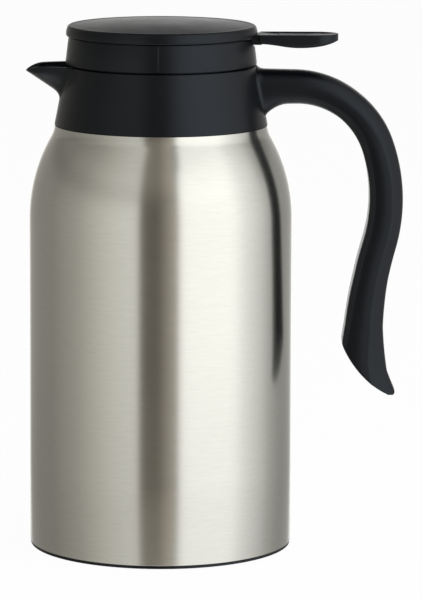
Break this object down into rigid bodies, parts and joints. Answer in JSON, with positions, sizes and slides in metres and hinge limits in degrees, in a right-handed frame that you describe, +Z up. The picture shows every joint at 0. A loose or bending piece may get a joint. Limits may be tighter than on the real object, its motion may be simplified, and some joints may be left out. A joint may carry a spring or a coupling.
{
  "type": "vacuum carafe",
  "caption": "Vacuum carafe with a brushed steel body, an open-ended handle, a pouring spout and a screw-in stopper whose rocking lid lifts a valve when a thumb lever is pressed.",
  "frame": {"origin": "on the body's axis, at the level of the surface that the carafe stands on", "axes": "+Z up along the body's axis, +X towards the handle and thumb lever, the spout points to -X"},
  "size_m": [0.1789, 0.125, 0.2507],
  "materials": {
    "brushed_shell": "fine brushing round the body, satin",
    "flask_steel": "plain drawn sheet",
    "small_steel": "turned, bright",
    "spring_wire": "drawn spring wire",
    "getter_metal": "pressed and sintered",
    "black_plastic": "satin moulded polypropylene",
    "pale_silicone": "moulded silicone",
    "foot_rubber": "matt"
  },
  "bodies": {
    "carafe": {"outer_shell": "brushed_shell", "inner_flask": "flask_steel", "bottom_plate": "flask_steel", "vacuum_seal": "flask_steel", "getter_cup": "flask_steel", "getter_pellet": "getter_metal", "base_cover": "black_plastic", "foot_ring": "foot_rubber", "collar": "black_plastic", "collar_gasket": "pale_silicone", "neck_clip": "small_steel", "handle_shell": "black_plastic", "handle_liner": "black_plastic", "handle_screws": "small_steel"},
    "stopper_seal": {"stopper_gasket": "pale_silicone"},
    "stopper": {"stopper_body": "black_plastic", "lid_ring": "black_plastic", "lid_screws": "small_steel", "stem_guide": "pale_silicone", "stem_washer": "foot_rubber", "hinge_pin": "small_steel", "valve_spring": "spring_wire"},
    "flip_lid": {"flip_disc": "black_plastic", "disc_liner": "black_plastic", "disc_screws": "small_steel", "thumb_lever": "black_plastic"},
    "valve": {"valve_stem": "small_steel", "stem_head": "black_plastic", "valve_plate": "black_plastic", "valve_seal": "pale_silicone", "valve_clip": "small_steel"}
  },
  "joints": [
    {"name": "lid_lift", "type": "slide", "parent": "carafe", "child": "stopper_seal", "axis": [0, 0, 1], "range_m": [0, 0.0301]},
    {"name": "lid_turn", "type": "hinge", "parent": "stopper_seal", "child": "stopper", "pos_m": [0, 0, 0], "axis": [0, 0, 1], "range_deg": [0, 450]},
    {"name": "flip_turn", "type": "hinge", "parent": "stopper", "child": "flip_lid", "pos_m": [0.04, 0, 0.2412], "axis": [0, 1, 0], "range_deg": [0, 12]},
    {"name": "valve_lift", "type": "slide", "parent": "stopper", "child": "valve", "axis": [0, 0, 1], "range_m": [0, 0.00848], "stiffness_N_per_m": 400, "springref_m": -0.01, "deforming": ["valve_spring"]}
  ],
  "couplings": [
    {"joint": "lid_lift", "follows": "lid_turn", "m_per_rad": 0.0038197},
    {"joint": "valve_lift", "follows": "flip_turn", "m_per_rad": 0.04}
  ]
}
